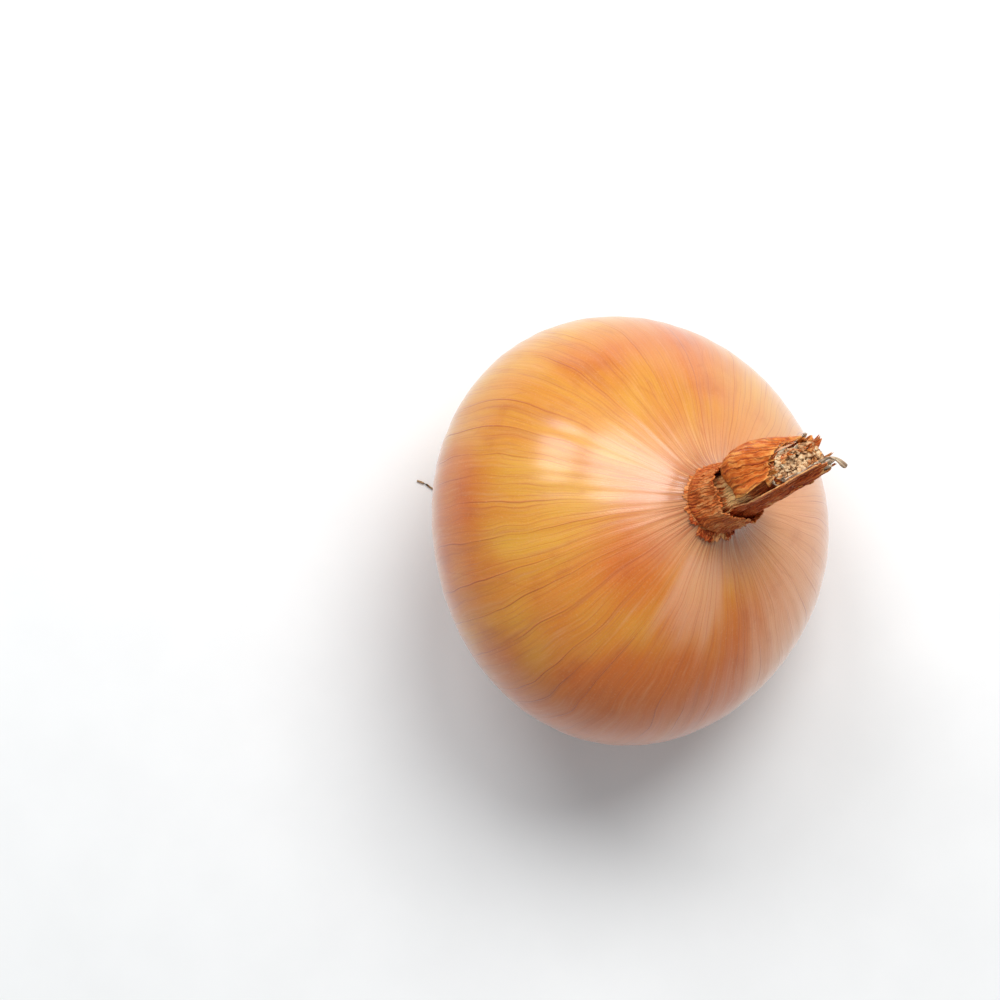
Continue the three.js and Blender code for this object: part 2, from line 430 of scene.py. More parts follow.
    worn = times(tree, towards(-0.45, -0.89, 0.93, 0.97), remap(tree, radius, 0.009, 0.013))
    worn = times(tree, worn, remap(tree, plus(tree, radius, ragged), 0.030, 0.019))
    colour = blendColour(tree, times(tree, worn, 0.5), colour, look["pink"])
    # painted shadow: the shade the neck casts on the bulb, painted into the skin colour on the side away from
    # the light
    paintedNeckShadow = times(tree, towards(0.42, -0.91, 0.55, 0.95), remap(tree, radius, 0.019, 0.007))
    paintedNeckShadow = times(tree, paintedNeckShadow, remap(tree, striae, 0.3, 0.6, 0.5, 1.0))
    colour = blendColour(tree, times(tree, paintedNeckShadow, 0.75), colour, look["shade"])

    # veins, from crown to root end, and the few slanting links between them
    veins = lengthVeins(look["veins"], look["veinWidth"], 0.06)
    outward = remap(tree, latitude, 0.5, 1.2, 0.35, 1.0)
    veins = times(tree, veins, outward)
    colour = blendColour(tree, times(tree, veins, 0.68), colour, look["vein"])
    links = slantedLinks(look["links"], look["veinWidth"] * 0.7)
    colour = blendColour(tree, times(tree, links, 0.20), colour, look["vein"])
    fine = lengthVeins(look["veins"] * 3, look["veinWidth"] * 0.55, 0.0)
    colour = blendColour(tree, times(tree, fine, 0.40), colour, look["vein"])

    # red-brown gathers right at the neck
    gathers = remap(tree, latitude, 0.15, 0.42, 1.0, 0.0)
    gathers = times(tree, gathers, remap(tree, latitude, 0.15, 0.30, 1.0, 0.5))
    folds = cloud(tree, lengthwise(190, 1.5), 1.0, 3.0)
    gathers = times(tree, gathers, remap(tree, folds, 0.4, 0.6))
    colour = blendColour(tree, times(tree, gathers, 0.85), colour, look["neckRed"])

    # skin cells: a faint speckle
    cells = cloud(tree, spot, 2600.0, 2.0, 0.6)
    colour = blendColour(tree, remap(tree, cells, 0.56, 0.76, 0.0, 0.22), colour, look["cream"])
    colour = blendColour(tree, remap(tree, cells, 0.45, 0.2, 0.0, 0.14), colour, look["vein"])

    roughness = remap(tree, plus(tree, striae, times(tree, cells, 0.4)), 0.4, 0.95,
                      look["roughness"][0], look["roughness"][1])
    height = plus(tree, times(tree, veins, 0.5), times(tree, striae, 0.55))
    height = plus(tree, height, times(tree, cells, 0.10))
    height = plus(tree, height, times(tree, gathers, 0.8))
    finishMaterial(tree, colour, roughness, height, look["bumpDepth"], Specular_IOR_Level=0.32,
                   Coat_Weight=0.9, Coat_Roughness=0.24, Sheen_Weight=0.30, Sheen_Roughness=0.3,
                   Subsurface_Weight=0.06, Subsurface_Scale=0.002)
    return material


# bulb

bulbShape = {
    "columns": 400,
    "lowerRings": 90,
    "upperRings": 130,
    "crownRadius": 0.0050,  # where the skin goes in under the collar
    "gatherDepth": 0.00005,
    "gatherReach": 0.0042,
    "waveDepth": 0.00022,
    "ribDepth": 0.00005,
}


def lobes(angle, radius):
    share = onion["ovalShare"] * np.cos(2 * (angle - onion["ovalAngle"]))
    share = share + onion["lobeShare"] * np.cos(3 * (angle - onion["lobeAngle"]))
    return 1 + share * radius / onion["radius"]


def bulbProfile():
    lower = np.linspace(0, math.pi / 2, bulbShape["lowerRings"], endpoint=False)[1:]
    radius = [onion["radius"] * np.sin(lower)]
    height = [-onion["bottomHeight"] * np.cos(lower)]
    turn = np.linspace(0, math.pi / 2, bulbShape["upperRings"])
    upper = lerp(bulbShape["crownRadius"], onion["radius"], np.cos(turn) ** 1.25)
    radius.append(upper)
    height.append(crownHeight(upper))
    return np.concatenate(radius), np.concatenate(height)


def gatherWaves(angle, seed, counts):
    # ridges that run down the skin, a mix of waves that don't repeat
    draw = random.Random(seed)
    total = np.zeros_like(angle)
    for count in counts:
        total += np.cos(count * angle + draw.uniform(0, 2 * math.pi)) * draw.uniform(0.6, 1.0)
    return total / math.sqrt(len(counts))


def restOnTable(points):
    # lifts what is below the table up to it; points are in the leaning onion's own directions
    lean = np.array(leaning)
    world = points @ lean[:3, :3].T + lean[:3, 3]
    world[:, 2] = np.maximum(world[:, 2], 0)
    return (world - lean[:3, 3]) @ lean[:3, :3]


def makeBulb(material):
    radii, heights = bulbProfile()
    columns = bulbShape["columns"]
    rows = len(radii)
    angle = np.tile(np.arange(columns) * 2 * math.pi / columns, rows)
    radius = np.repeat(radii, columns)
    height = np.repeat(heights, columns)
    swell = lobes(angle, radius)
    upper = height > 0
    gather = gatherWaves(angle, 4, (17, 23, 31, 38, 47, 58, 71))
    near = np.where(upper, np.exp(-(radius - bulbShape["crownRadius"]) / bulbShape["gatherReach"]), 0)
    rib = gatherWaves(angle, 9, (19, 26, 34, 43, 55, 64)) * np.sin(np.pi * radius / onion["radius"] / 2)
    points = np.stack([radius * swell * np.cos(angle), radius * swell * np.sin(angle), height], 1)
    outward = points / np.linalg.norm(points, axis=1, keepdims=True)
    wave = grain(points, 38.0, 1) * bulbShape["waveDepth"]
    push = wave * smooth(0.006, 0.02, radius) + gather * near * bulbShape["gatherDepth"]
    push = push + rib * bulbShape["ribDepth"]
    points = restOnTable(points + outward * push[:, None])
    faces = gridFaces(columns, rows, around=True)
    bottom = len(points)
    points = np.vstack([points, [[0, 0, -onion["bottomHeight"]]], [[0, 0, heights[-1]]]])
    last = (rows - 1) * columns
    for column in range(columns):
        right = (column + 1) % columns
        faces.append((bottom, right, column))
        faces.append((bottom + 1, last + column, last + right))
    bulb = meshPiece("onionBulb", points, faces, material, leaned=True)
    return settle(bulb, "skin", "bulb")


makeBulb(skinMaterial())
print("bulb made")

# dry papery sheaths: each look has a dark, a middle and a light tone

sheathLooks = {
    "collar": {"dark": (0.27, 0.027, 0.004), "middle": (0.66, 0.160, 0.028), "light": (0.90, 0.43, 0.160),
               "fibres": 3.0, "roughness": (0.5, 0.75)},
    "amber": {"dark": (0.25, 0.032, 0.004), "middle": (0.58, 0.125, 0.012), "light": (0.82, 0.35, 0.085),
              "fibres": 1.7, "roughness": (0.38, 0.6)},
    "brown": {"dark": (0.23, 0.020, 0.003), "middle": (0.62, 0.115, 0.017), "light": (0.92, 0.45, 0.17),
              "fibres": 2.4, "roughness": (0.48, 0.7)},
    "inner": {"dark": (0.22, 0.030, 0.006), "middle": (0.62, 0.150, 0.030), "light": (0.98, 0.56, 0.22),
              "fibres": 2.6, "roughness": (0.5, 0.75)},
    "grey": {"dark": (0.13, 0.075, 0.045), "middle": (0.38, 0.26, 0.165), "light": (0.72, 0.56, 0.39),
             "fibres": 2.6, "roughness": (0.65, 0.85)},
}


def sheathMaterial(name):
    # reads the attributes "around" and "along" in millimetres, and "pale" from -1 to 1
    look = sheathLooks[name]
    material, tree = newMaterial(name + " dry sheath")

    def reading(label):
        return node(tree, "ShaderNodeAttribute", attribute_name=label).outputs["Fac"]

    around, along, pale = reading("around"), reading("along"), reading("pale")
    count = look["fibres"]
    bend = cloud(tree, vector(tree, around, along, 3.0), 0.35)
    bend = times(tree, calc(tree, "SUBTRACT", bend, 0.5), 1.6)
    moved = plus(tree, around, bend)
    lengthwise = vector(tree, times(tree, moved, count), times(tree, along, 0.22), 0.0)
    threads = cloud(tree, lengthwise, 1.0, 4.0, 0.65)
    fine = cloud(tree, vector(tree, times(tree, moved, count * 3.4),
                              times(tree, along, 0.5), 9.0), 1.0, 3.0, 0.6)
    patches = cloud(tree, vector(tree, around, along, 20.0), 0.42, 4.0, 0.6)
    tone = plus(tree, times(tree, threads, 1.05), times(tree, patches, 0.55))
    tone = calc(tree, "SUBTRACT", tone, 0.26)
    tone = plus(tree, tone, times(tree, pale, 0.34))
    colour = ramp(tree, tone, [(0.30, look["dark"]), (0.52, look["middle"]), (0.78, look["light"])])
    colour = blendColour(tree, remap(tree, fine, 0.52, 0.30, 0.0, 0.55), colour, look["dark"])
    feeds = {"W": times(tree, moved, count * 0.55), "Scale": 1.0}
    veins = node(tree, "ShaderNodeTexVoronoi", feeds, feature="DISTANCE_TO_EDGE",
                 voronoi_dimensions="1D").outputs["Distance"]
    vein = remap(tree, veins, 0.03, 0.13, 1.0, 0.0)
    colour = blendColour(tree, times(tree, vein, 0.62), colour, look["dark"])
    roughness = remap(tree, threads, 0.3, 0.7, *look["roughness"])
    height = plus(tree, times(tree, fine, 0.6), times(tree, threads, 1.0))
    height = plus(tree, height, times(tree, vein, 0.5))
    finishMaterial(tree, colour, roughness, height, 0.00022, Specular_IOR_Level=0.22,
                   Subsurface_Weight=0.10, Subsurface_Scale=0.0008)
    return material


sheathFinish = {name: sheathMaterial(name) for name in sheathLooks}


# the neck's own directions: distance along its middle line, angle round it, distance out from it

def neckPoint(along, angle, out):
    share = along / neck["length"]
    knee = neck["length"] * neck["straightShare"]
    rest = neck["length"] - knee
    kneeX, kneeZ = 0.0, seatHeight + knee
    tipX, tipZ = rest * math.sin(neck["bend"]), seatHeight + knee + rest * math.cos(neck["bend"])
    middleX = 2 * (1 - share) * share * kneeX + share ** 2 * tipX
    middleZ = (1 - share) ** 2 * seatHeight + 2 * (1 - share) * share * kneeZ + share ** 2 * tipZ
    clipped = np.clip(share, 0, 1)
    tangentX = clipped * (tipX - kneeX)
    tangentZ = (1 - clipped) * knee + clipped * (tipZ - kneeZ)
    length = np.hypot(tangentX, tangentZ)
    around = angle - neck["bendTurn"]
    x = middleX + tangentZ / length * out * np.cos(around)
    y = out * np.sin(around)
    z = middleZ - tangentX / length * out * np.cos(around)
    cosine, sine = math.cos(neck["bendTurn"]), math.sin(neck["bendTurn"])
    return np.stack([x * cosine - y * sine, x * sine + y * cosine, z], 1)


def coreRadius(along, angle):
    share = along / neck["length"]
    foot = neck["footRadius"] - neck["sheath"] - neck["gap"]
    lower = lerp(foot, neck["midRadius"], np.clip(share / 0.35, 0, 1))
    upper = lerp(neck["midRadius"], neck["tipRadius"], (share - 0.35) / 0.65)
    plain = np.where(share < 0.35, lower, upper)
    return plain * (1 + neck["fold"] * np.cos(neck["folds"] * angle + 2 * share))


def cutAt(angle, share=1.0):
    return neck["cutSlant"] * (1 - share * np.cos(angle)) / 2


def wrinkles(along, angle, acrossSize, alongSize, seed):
    # creases that run along the neck, sharp at their tops
    radius = 0.006
    places = np.stack([np.cos(angle) * radius / acrossSize, np.sin(angle) * radius / acrossSize,
                       along / alongSize], 1)
    return 1 - 2 * np.abs(grain(places, 1.0, seed))


def gridOf(columns, rows, around=False):
    across = np.linspace(0, 1, columns, endpoint=not around)
    return np.tile(across, rows), np.repeat(np.linspace(0, 1, rows), columns)


# collar: the wrinkled sheath round the neck's foot, with a ragged skirt on the bulb and a torn upper edge

collar = {
    "columns": 300,
    "rows": 76,
    "skirtShare": 0.24,
    "skirtReach": 0.0009,
    "height": 0.0084,
    "tear": 0.0011,
    "wrinkle": 0.00026,
    "thickness": 0.00022,
}


def makeCollar():
    across, up = gridOf(collar["columns"], collar["rows"], around=True)
    angle = across * 2 * math.pi
    rim = np.stack([np.cos(angle), np.sin(angle), np.zeros_like(angle)], 1)
    ragged = grain(rim, 4.0, 3) + 0.6 * grain(rim, 13.0, 5) + 0.35 * grain(rim, 34.0, 6)
    skirt = collar["skirtShare"]
    onSkirt = up < skirt
    inward = np.clip(up / skirt, 0, 1)
    wideRadius = neck["footRadius"] + 0.0004 + collar["skirtReach"] * np.clip(0.3 + 0.8 * ragged, 0.02, 1.6)
    skirtRadius = lerp(wideRadius, neck["footRadius"] + 0.0003, inward ** 0.8)
    skirtAlong = crownHeight(skirtRadius) - seatHeight + 0.00010 + 0.0002 * inward
    torn = 0.7 * grain(rim, 3.0, 11) + 0.5 * grain(rim, 9.0, 12) + 0.4 * grain(rim, 26.0, 13)
    torn = collar["tear"] * torn
    climb = np.clip((up - skirt) / (1 - skirt), 0, 1)
    start = float(crownHeight(neck["footRadius"] + 0.0003)) - seatHeight + 0.0003
    tubeAlong = lerp(start, collar["height"] + torn, climb)
    peel = 0.00045 * smooth(0.8, 1.0, climb) * (1 + grain(rim, 6.0, 14))
    tubeRadius = coreRadius(np.maximum(tubeAlong, 0), angle) + neck["gap"] + neck["sheath"] + peel
    tubeRadius = lerp(neck["footRadius"] + 0.0003, tubeRadius, smooth(0, 0.22, climb))
    along = np.where(onSkirt, skirtAlong, tubeAlong)
    radius = np.where(onSkirt, skirtRadius, tubeRadius)
    crease = wrinkles(along, angle + 0.05 * np.sin(along * 900), 0.00105, 0.0060, 21)
    crease += 0.45 * wrinkles(along, angle, 0.00050, 0.0022, 22)
    crease += 0.25 * wrinkles(along, angle, 0.0013, 0.00065, 23)
    depth = collar["wrinkle"] * np.where(onSkirt, 0.35, smooth(0, 0.15, climb) * 0.75 + 0.25)
    radius = radius + np.where(onSkirt, 0, crease * depth)
    along = along + np.where(onSkirt, np.maximum(crease, -0.2) * depth, 0)
    points = neckPoint(along, angle, radius)
    pale = 0.15 * crease - 0.1 - 0.25 * smooth(0.5, 0, climb)
    pale = pale + 0.5 * smooth(0.93, 1.0, climb) * grain(rim, 8.0, 15)
    pale = np.where(onSkirt, 0.2 * crease - 0.1, pale)
    labels = {"around": angle * 6.0, "along": along * 1000, "pale": pale}
    faces = gridFaces(collar["columns"], collar["rows"], around=True)
    piece = meshPiece("neckCollar", points, faces, sheathFinish["collar"], True, labels)
    thicken(piece, collar["thickness"])
    return settle(piece, "dry_sheath", "neck_collar")


makeCollar()

# longer sheaths above the collar; angles are in degrees, half a turn faces up

upperFlap = {"from": 56, "to": 190, "start": 0.0080, "late": 0.0036, "end": 0.0272, "slanted": True,
             "off": 0.00066, "lift": 0.0031, "curl": (0.0002, 0.0007), "wave": 7, "tear": 0.0013,
             "crease": 0.00020, "creaseSize": 0.0012, "thickness": 0.00020, "columns": 110, "rows": 120,
             "seed": 30, "pale": -0.10}
lowerStrip = {"from": 212, "to": 292, "start": 0.0066, "late": 0.0004, "end": 0.0286, "slanted": False,
              "off": 0.00015, "lift": 0.0001, "curl": (0.0008, 0.0002), "wave": 9, "tear": 0.0012,
              "crease": 0.00034, "creaseSize": 0.0010, "thickness": 0.00022, "columns": 90, "rows": 130,
              "seed": 40, "pale": -0.22}
underSheath = {"from": 284, "to": 418, "start": 0.0076, "late": 0.0, "end": 0.0262, "slanted": False,
               "off": 0.0001, "lift": 0.0001, "curl": (0.0002, 0.0002), "wave": 5, "tear": 0.0015,
               "crease": 0.00022, "creaseSize": 0.0011, "thickness": 0.00020, "columns": 90, "rows": 90,
               "seed": 50, "pale": -0.2}
lowerLip = {"from": 214, "to": 330, "start": 0.0215, "late": 0.0, "end": 0.0290, "slanted": False,
            "off": 0.0, "lift": -0.0004, "curl": (0.0003, 0.0003), "wave": 8, "tear": 0.0012,
            "crease": 0.00026, "creaseSize": 0.0009, "thickness": 0.00022, "columns": 80, "rows": 60,
            "seed": 60, "pale": 0.0}


def sheathGrid(values):
    across, up = gridOf(values["columns"], values["rows"])
    seed = values["seed"]
    edgeWave = grain(np.stack([up * 3.1, up * 0, up * 0], 1), 1.0, seed + 1)
    otherWave = grain(np.stack([up * 2.6, up * 0, up * 0], 1), 1.0, seed + 2)
    low = values["from"] + values["wave"] * edgeWave
    high = values["to"] + values["wave"] * otherWave
    angle = np.radians(lerp(low, high, across))
    line = np.stack([across * 5, across * 0, across * 0], 1)
    torn = values["tear"] * (grain(line, 1.0, seed + 3) + 0.7 * grain(line, 3.4, seed + 4)
                             + 0.5 * grain(line, 9.0, seed + 5))
    top = values["end"] + torn - (cutAt(angle) if values["slanted"] else 0)
    bottom = values["start"] + values["late"] * smooth(0.25, 1.0, across)
    along = lerp(bottom, top, up)
    crease = wrinkles(along, angle, values["creaseSize"], 0.0075, seed + 6)
    crease += 0.4 * wrinkles(along, angle, values["creaseSize"] * 0.4, 0.003, seed + 7)
    firstCurl, lastCurl = values["curl"]
    lift = values["lift"] * np.sin(np.pi * up ** 0.7) * (1 - 0.55 * smooth(0.25, 0.85, across))
    out = coreRadius(along, angle) + neck["gap"] + values["off"] + lift
    out += firstCurl * smooth(0.22, 0.0, across) * smooth(0.1, 0.5, up)
    out += lastCurl * smooth(0.80, 1.0, across) * smooth(0.1, 0.5, up)
    out += crease * values["crease"]
    edge = np.maximum(smooth(0.05, 0.0, across), smooth(0.95, 1.0, across))
    pale = values["pale"] + 0.12 * crease + 0.75 * edge + 0.5 * smooth(0.93, 1.0, up)
    labels = {"around": angle * 5.0, "along": along * 1000, "pale": pale}
    return neckPoint(along, angle, out), labels


def makeSheath(name, values, finish, *nodes):
    points, labels = sheathGrid(values)
    faces = gridFaces(values["columns"], values["rows"])
    piece = meshPiece(name, points, faces, sheathFinish[finish], True, labels)
    thicken(piece, values["thickness"])
    return settle(piece, "dry_sheath", *nodes)


makeSheath("neckUpperFlap", upperFlap, "amber", "neck_upper_sheath")
makeSheath("neckLowerStrip", lowerStrip, "brown", "neck_lower_sheath")
makeSheath("neckUnderSheath", underSheath, "brown", "neck_under_sheath")
makeSheath("neckLowerLip", lowerLip, "grey", "neck_lower_sheath")
print("neck sheaths made")

# core: the dried bundle inside, cut off aslant, with a sunken crumbly end

core = {"columns": 150, "rows": 90, "capRings": 26, "crease": 0.00026, "sink": 0.0015, "crumble": 0.00060}


def pithMaterial():
    material, tree = newMaterial("crumbly dry pith")
    place = node(tree, "ShaderNodeTexCoord").outputs["Object"]
    lumps = cloud(tree, place, 900.0, 4.0, 0.65)
    specks = cloud(tree, place, 3200.0, 3.0, 0.6)
    stops = [(0.30, (0.06, 0.030, 0.014)), (0.40, (0.36, 0.16, 0.070)), (0.50, (0.76, 0.49, 0.26)),
             (0.66, (0.92, 0.70, 0.45))]
    colour = ramp(tree, lumps, stops)
    colour = blendColour(tree, remap(tree, specks, 0.5, 0.3, 0.0, 0.6), colour, (0.13, 0.075, 0.04))
    warm = cloud(tree, place, 420.0, 2.0)
    colour = blendColour(tree, remap(tree, warm, 0.5, 0.68, 0.0, 0.5), colour, (0.62, 0.30, 0.13))
    roughness = remap(tree, specks, 0.3, 0.7, 0.75, 0.95)
    height = plus(tree, lumps, times(tree, specks, 0.5))
    finishMaterial(tree, colour, roughness, height, 0.0004, Specular_IOR_Level=0.25)
    return material


pith = pithMaterial()


def makeCore():
    columns, rows = core["columns"], core["rows"]
    across, up = gridOf(columns, rows, around=True)
    angle = across * 2 * math.pi
    along = lerp(neck["gap"], neck["length"] - 0.0004 - cutAt(angle), up)
    crease = wrinkles(along, angle, 0.0010, 0.006, 71) + 0.4 * wrinkles(along, angle, 0.0004, 0.003, 72)
    out = coreRadius(along, angle) + crease * core["crease"]
    sides = neckPoint(along, angle, out)
    facing = smooth(0.35, 0.9, -np.cos(angle - math.radians(25)))
    pale = 0.2 * crease + 0.8 * facing * smooth(0.0075, 0.0095, along) * smooth(0.0145, 0.0115, along)
    pale = pale - 0.5 * smooth(0.0135, 0.0165, along)
    labels = {"around": angle * 4.4, "along": along * 1000, "pale": pale}
    bottom = len(sides)
    points = np.vstack([sides, [[0, 0, seatHeight + neck["gap"]]]])
    for label in labels:
        labels[label] = np.append(labels[label], 0)
    faces = gridFaces(columns, rows, around=True)
    faces += [(bottom, (column + 1) % columns, column) for column in range(columns)]
    body = meshPiece("neckCore", points, faces, sheathFinish["inner"], True, labels)
    settle(body, "dry_pith", "neck_core")

    rings = core["capRings"]
    share = np.repeat(np.linspace(1.0, 0.03, rings), columns)
    angle = np.tile(across[:columns] * 2 * math.pi, rings)
    rimAlong = neck["length"] - 0.0004 - cutAt(angle, share)
    out = share * (coreRadius(rimAlong, angle) + 0.00005)
    flat = neckPoint(rimAlong, angle, out)
    rough = grain(flat, 850.0, 81) + 0.6 * grain(flat, 1900.0, 82)
    inside = smooth(1.0, 0.85, share)
    along = rimAlong - core["sink"] * inside + core["crumble"] * rough * inside
    points = neckPoint(along, angle, out)
    centre = len(points)
    points = np.vstack([points, points[-columns:].mean(axis=0, keepdims=True)])
    faces = gridFaces(columns, rings, around=True)
    last = (rings - 1) * columns
    faces += [(centre, last + column, last + (column + 1) % columns) for column in range(columns)]
    cap = meshPiece("neckCutEnd", points, faces, pith, True)
    settle(cap, "dry_pith", "neck_core")


makeCore()

# crumbs: broken bits of dry leaf that fill the cut end

crumbs = {"count": 230, "size": (0.00020, 0.00062), "faces": 2, "seed": 12}


def makeCrumbs():
    draw = random.Random(crumbs["seed"])
    allPoints, allFaces = [], []
    for number in range(crumbs["count"]):
        ball = bmesh.new()
        bmesh.ops.create_icosphere(ball, subdivisions=crumbs["faces"] + 1, radius=1.0)
        size = draw.uniform(*crumbs["size"])
        stretch = Vector((draw.uniform(0.5, 1.5), draw.uniform(0.5, 1.3), draw.uniform(0.35, 0.9)))
        turn = Matrix.Rotation(draw.uniform(0, 6.28), 3, "X") @ Matrix.Rotation(draw.uniform(0, 6.28), 3, "Z")
        share = math.sqrt(draw.uniform(0.02, 1.0))
        angle = draw.uniform(0, 2 * math.pi)
        along = neck["length"] - 0.0006 - float(cutAt(angle, share)) - core["sink"] * 0.6 * (1 - share)
        along += draw.uniform(-0.0003, 0.0004)
        out = share * float(coreRadius(along, angle)) * 0.98
        centre = Vector(neckPoint(np.array([along]), np.array([angle]), np.array([out]))[0])
        base = len(allPoints)
        for vertex in ball.verts:
            bumpy = 1 + 0.45 * noise.noise(vertex.co * 1.7 + Vector((number * 3.1, 0, 0)))
            bumpy += 0.22 * noise.noise(vertex.co * 4.5 + Vector((0, number * 2.3, 0)))
            local = Vector((vertex.co.x * stretch.x, vertex.co.y * stretch.y, vertex.co.z * stretch.z))
            allPoints.append(centre + turn @ (local * bumpy * size))
        allFaces += [tuple(base + corner.index for corner in face.verts) for face in ball.faces]
        ball.free()
    piece = meshPiece("neckCrumbs", allPoints, allFaces, pith, True)
    settle(piece, "dry_pith", "neck_core")


makeCrumbs()

# small torn bits: each is a curled scrap of sheath at a place on the neck

def scrap(draw, along, angle, out, width, length, curl, lean, columns=7, rows=10):
    # curl bends it away from the neck, and lean turns its length from the neck's own
    across, up = gridOf(columns, rows)
    ragged = np.array([draw.uniform(0.7, 1.1) for column in range(columns)])
    reach = length * up * np.tile(ragged, rows)
    taper = 1 - 0.45 * up ** 2
    aside = (across - 0.5) * width * taper + reach * math.sin(lean)
    along = along + reach * math.cos(lean)
    angle = angle + aside / max(out, 0.002)
    cup = draw.uniform(-0.00035, 0.00035) * (2 * across - 1) ** 2
    crumple = grain(np.stack([across * 3, up * 4, up * 0], 1), 1.0, draw.random() * 9)
    out = out + curl * up ** 1.6 + cup + 0.00012 * crumple
    return along, angle, out


def joinScraps(name, grids, finish, slotName, thickness, *nodes):
    points, faces = [], []
    labels = {"around": [], "along": [], "pale": []}
    for gridPoints, columns, rows, gridLabels in grids:
        base = sum(len(part) for part in points)
        points.append(gridPoints)
        faces += [tuple(base + corner for corner in face) for face in gridFaces(columns, rows)]
        for label in labels:
            labels[label].append(gridLabels[label])
    labels = {label: np.concatenate(values) for label, values in labels.items()}
    piece = meshPiece(name, np.vstack(points), faces, sheathFinish[finish], True, labels)
    thicken(piece, thickness)
    return settle(piece, slotName, *nodes)


tipScraps = {"count": 80, "width": (0.0006, 0.0019), "length": (0.0009, 0.0026),
             "curl": (-0.0009, 0.0010), "seed": 5}


def makeTipScraps():
    draw = random.Random(tipScraps["seed"])
    for finish, share in (("grey", 0.12), ("amber", 0.36), ("brown", 0.52)):
        grids = []
        for number in range(int(tipScraps["count"] * share)):
            angle = draw.uniform(0, 2 * math.pi)
            inner = draw.uniform(0.6, 1.28)
            along = neck["length"] - 0.0014 - float(cutAt(angle, inner)) + draw.uniform(-0.0008, 0.0004)
            out = inner * float(coreRadius(along, angle))
            width, length = draw.uniform(*tipScraps["width"]), draw.uniform(*tipScraps["length"])
            curl, lean = draw.uniform(*tipScraps["curl"]), draw.uniform(-0.6, 0.6)
            placed = scrap(draw, along, angle, out, width, length, curl, lean)
            tone = draw.uniform(0.1, 1.1)
            labels = {"around": placed[1] * 4.0, "along": placed[0] * 1000, "pale": np.full(70, tone)}
            grids.append((neckPoint(*placed), 7, 10, labels))
        joinScraps("neckTipScraps" + finish.capitalize(), grids, finish, "dry_pith", 0.00012, "neck_core")


makeTipScraps()

tipCurl = {"angle": 262, "width": 0.0020, "reach": 0.0038, "dip": 0.0003, "turnedOut": 0.0029,
           "thickness": 0.00022, "columns": 18, "rows": 40}


def makeTipCurl():
    across, up = gridOf(tipCurl["columns"], tipCurl["rows"])
    wide = tipCurl["width"] * (1 - 0.25 * up + 0.12 * np.sin(up * 9))
    angle = math.radians(tipCurl["angle"]) + (across - 0.5) * wide / neck["tipRadius"] * 1.2
    free = np.clip((up - 0.3) / 0.7, 0, 1)
    along = neck["length"] - 0.0022 + 0.0025 * np.clip(up / 0.3, 0, 1)
    along = along + tipCurl["reach"] * free - 0.0005 * free ** 3
    cup = 0.0004 * (2 * across - 1) ** 2
    bent = tipCurl["turnedOut"] * free ** 2.4 - tipCurl["dip"] * np.sin(np.pi * free)
    out = neck["tipRadius"] * 0.75 + bent - cup
    points = neckPoint(along, angle, out)
    labels = {"around": across * 2.2, "along": along * 1000, "pale": 0.45 - 0.9 * smooth(0.75, 1.0, up)}
    faces = gridFaces(tipCurl["columns"], tipCurl["rows"])
    piece = meshPiece("neckTipCurl", points, faces, sheathFinish["grey"], True, labels)
    thicken(piece, tipCurl["thickness"])
    settle(piece, "dry_sheath", "neck_tip_curl")


makeTipCurl()

# fringe: crumpled flakes of skin round the collar's foot, most on the side away from the lean

fringe = {"count": 22, "middle": 245, "spread": 62, "width": (0.0009, 0.0026), "length": (0.0007, 0.0018),
          "seed": 8}


def makeFringe():
    draw = random.Random(fringe["seed"])
    grids = []
    columns, rows = 9, 11
    for number in range(fringe["count"]):
        across, up = gridOf(columns, rows)
        middle = math.radians(fringe["middle"] + draw.gauss(0, 0.5) * fringe["spread"])
        width, length = draw.uniform(*fringe["width"]), draw.uniform(*fringe["length"])
        start = neck["footRadius"] + draw.uniform(-0.0001, 0.0006)
        ragged = np.tile([draw.uniform(0.65, 1.1) for column in range(columns)], rows)
        radius = start + length * up * ragged
        twist = draw.uniform(-0.5, 0.5)
        angle = middle + ((across - 0.5) * width * (1 - 0.5 * up ** 2) + twist * length * up) / radius
        crumple = grain(np.stack([across * 2.5, up * 3.5, up * 0], 1), 1.0, number)
        rise = 0.00022 + draw.uniform(0.0, 0.0009) * up ** 1.4 + 0.00028 * crumple
        height = crownHeight(radius) + np.maximum(rise, 0.00006)
        points = np.stack([radius * np.cos(angle), radius * np.sin(angle), height], 1)
        tone = draw.uniform(-0.3, 0.2)
        labels = {"around": angle * 6, "along": radius * 1000, "pale": tone + 0.3 * crumple}
        grids.append((points, columns, rows, labels))
    joinScraps("neckFringe", grids, "brown", "dry_sheath", 0.00012, "neck_collar")


makeFringe()

# hairs: single fibres that stick up from the torn edges

hairs = {"count": 12, "radius": 0.00006, "length": (0.0015, 0.0035), "sides": 5, "steps": 8, "seed": 3}


def tube(route, radii, sides):
    # rings round a route, one radius for each of its points, closed at both ends
    points, faces = [], []
    for index, middle in enumerate(route):
        before, after = route[max(index - 1, 0)], route[min(index + 1, len(route) - 1)]
        along = (after - before).normalized()
        side = along.orthogonal().normalized()
        other = along.cross(side)
        for step in range(sides):
            turn = step * 2 * math.pi / sides
            points.append(middle + (side * math.cos(turn) + other * math.sin(turn)) * radii[index])
    faces = gridFaces(sides, len(route), around=True)
    faces.append(tuple(reversed(range(sides))))
    faces.append(tuple(range((len(route) - 1) * sides, len(route) * sides)))
    return points, faces


